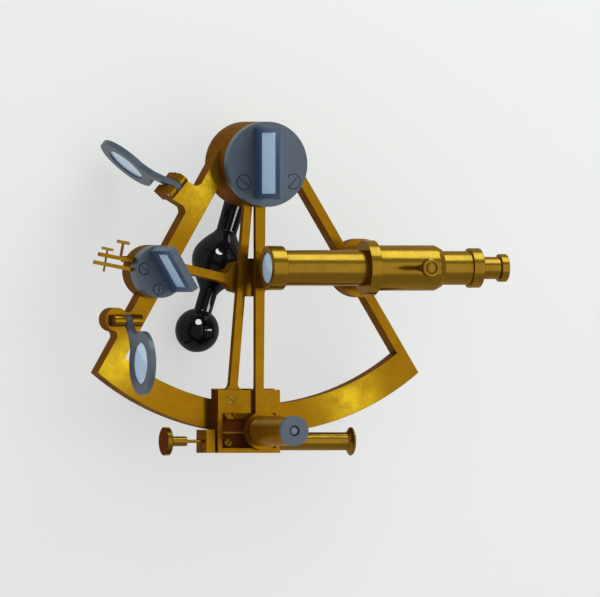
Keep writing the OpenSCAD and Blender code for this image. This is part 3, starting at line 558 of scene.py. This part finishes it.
# The focusing screw has a shank, a collar with a waist, and a head with a groove round its middle.
screw_low, screw_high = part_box("focus_screw")
screw_foot = (*half_way(screw_low, screw_high)[:2], screw_low[2])
SCREW_HEIGHT = screw_high[2] - screw_low[2]
SHANK_RADIUS = 0.0022
COLLAR_RADIUS = 0.0034
COLLAR_CORNER = 0.0005
WAIST_RADIUS = 0.0026
WAIST_HALF = 0.0015
HEAD_RADIUS = (screw_high[0] - screw_low[0]) / 2
HEAD_CORNER = 0.0008
HEAD_LOW = SCREW_HEIGHT - 0.006
COLLAR_LOW = HEAD_LOW - 0.014
HEAD_TOP = SCREW_HEIGHT - 0.0004
focus = turn("focus_screw_milled",
             [(0, SHANK_RADIUS), (COLLAR_LOW, SHANK_RADIUS), (COLLAR_LOW, COLLAR_RADIUS - COLLAR_CORNER),
              (COLLAR_LOW + 0.0006, COLLAR_RADIUS), (HEAD_LOW - 2 * WAIST_HALF, COLLAR_RADIUS),
              (HEAD_LOW - WAIST_HALF, WAIST_RADIUS), (HEAD_LOW, COLLAR_RADIUS),
              (HEAD_LOW, HEAD_RADIUS - HEAD_CORNER), (HEAD_LOW + 0.0007, HEAD_RADIUS),
              (HEAD_TOP - HEAD_CORNER, HEAD_RADIUS), (HEAD_TOP, HEAD_RADIUS - HEAD_CORNER),
              (HEAD_TOP, HEAD_RADIUS - 0.0022), (HEAD_TOP - 0.0005, HEAD_RADIUS - 0.0026),
              (SCREW_HEIGHT - 0.0003, HEAD_RADIUS - 0.0034), (SCREW_HEIGHT, HEAD_RADIUS - 0.0055)],
             screw_foot, (0, 0, 1), turned_brass, sides=60)
mill_rim(focus, screw_foot, (0, 0, 1), HEAD_RADIUS, depth=0.0003)
settle(focus, "focus_screw")
finish_copy("raising_nut", turned_brass, FITTING_EDGE)

# Horizon adjuster
# One brass tongue is fixed to the mirror's base and the other to the frame, filed from thick sheet.
# A turned screw between them tilts the mirror, and a second one locks it.
for name in ("adjuster_tongue", "adjuster_screw", "locking_screw"):
    finish_copy(name, turned_brass, SCREW_EDGE)

# Blued fittings
# Brass blacked with a chemical dip, which leaves a satin blue gray.
# The faces that hold the glass were dipped longer and are a deeper blue.
METAL_CLOUD = 0.0111
METAL_SPECK = 0.000556
FACES_LEFT = 0.5


def even_metal(name, light, dark, roughness, metallic):
    """A metal with an even surface: its tone drifts in clouds of 11 mm, and its specks are 0.6 mm wide,
    coarser than the real ones so that they show."""
    metal = start_finish(name, {"Metallic": metallic, "Roughness": roughness})
    tree = metal.node_tree
    shader = tree.nodes["Principled BSDF"]
    place = add(tree, "TexCoord", {})
    clouds = add(tree, "TexNoise", {"Vector": place.outputs["Object"], "Scale": 1 / METAL_CLOUD,
                                    "Detail": 5})
    colour = add(tree, "Mix", {0: clouds.outputs["Fac"], 6: linear(light), 7: linear(dark)},
                 data_type="RGBA")
    specks = add(tree, "TexNoise", {"Vector": place.outputs["Object"], "Scale": 1 / METAL_SPECK,
                                    "Detail": 2})
    bump = add(tree, "Bump", {"Height": specks.outputs["Fac"], "Strength": 0.15, "Distance": 0.00005})
    tree.links.new(colour.outputs[2], shader.inputs["Base Color"])
    tree.links.new(bump.outputs[0], shader.inputs["Normal"])
    return metal


# The dip's film hides most of the metal's shine: a blue gray with soft, wide highlights.
gun_gray = even_metal("gun_gray_brass", "#4E5966", "#434D59", roughness=0.45, metallic=0.35)
# The thicker film has the same soft shine and a clear blue.
deep_blue = even_metal("deep_blued_brass", "#3F5981", "#354C70", roughness=0.45, metallic=0.35)
for name in ("index_base", "index_screws", "index_back_plate", "eye_disc", "horizon_base", "horizon_screws",
             "upper_shade_ring", "lower_shade_ring"):
    finish_copy(name, gun_gray, FITTING_EDGE)
finish_copy("index_mirror_frame", gun_gray, FITTING_EDGE, deep_blue,
            lambda face: face.normal.x < -FACES_LEFT)
finish_copy("horizon_frame", gun_gray, FITTING_EDGE, deep_blue,
            lambda face: face.normal.x < -FACES_LEFT and face.normal.y < -SLANTED)

# Steel
# The shades' hinge pins, the spindle and the counter spring are steel, for wear and for spring.
# The pins and the spindle are turned and pushed into their bores, and the spring is wound from wire.
# Bright steel: a neutral gray that mirrors its surroundings softly.
steel = even_metal("bright_steel", "#A4A4A2", "#7E7E7C", roughness=0.3, metallic=1.0)
for name in ("spindle", "counter_spring", "upper_shade_pin", "lower_shade_pin"):
    finish_copy(name, steel, SCREW_EDGE)

# Glass
# The shades and lenses are ground and polished glass, held in their rings by a rim.
# The mirrors are plate glass, silvered on the back and held in their frames by screws.
PALE_BLUE = "#C4E2FF"

# Pale blue glass, its blue partly a tint and partly a painted reflection: it hardly shows what is behind it
# and looks like an even, light blue sheet.
glass = start_finish("pale_blue_glass", {"Base Color": linear(PALE_BLUE), "Roughness": 0.04,
                                         "Transmission Weight": 0.12})
for name in ("microscope_lens", "objective_lens", "eye_lens", "upper_shade_glass", "lower_shade_glass"):
    finish_copy(name, glass)
# The lower shade stands over the arc's end, and its mirror image would darken the bright patch there.
for name in ("lower_shade_ring", "lower_shade_glass"):
    bpy.data.objects[name + "_finished"].visible_glossy = False

# Silvered glass whose flat light blue is a painted reflection of a pale sky, with a little more shine.
silvered = start_finish("silvered_glass", {"Base Color": linear(PALE_BLUE), "Roughness": 0.04,
                                           "Metallic": 0.1})
finish_copy("index_mirror", silvered)
finish_copy("horizon_glass", silvered, second=gun_gray, second_where=lambda face: face.normal.z > LEVEL)
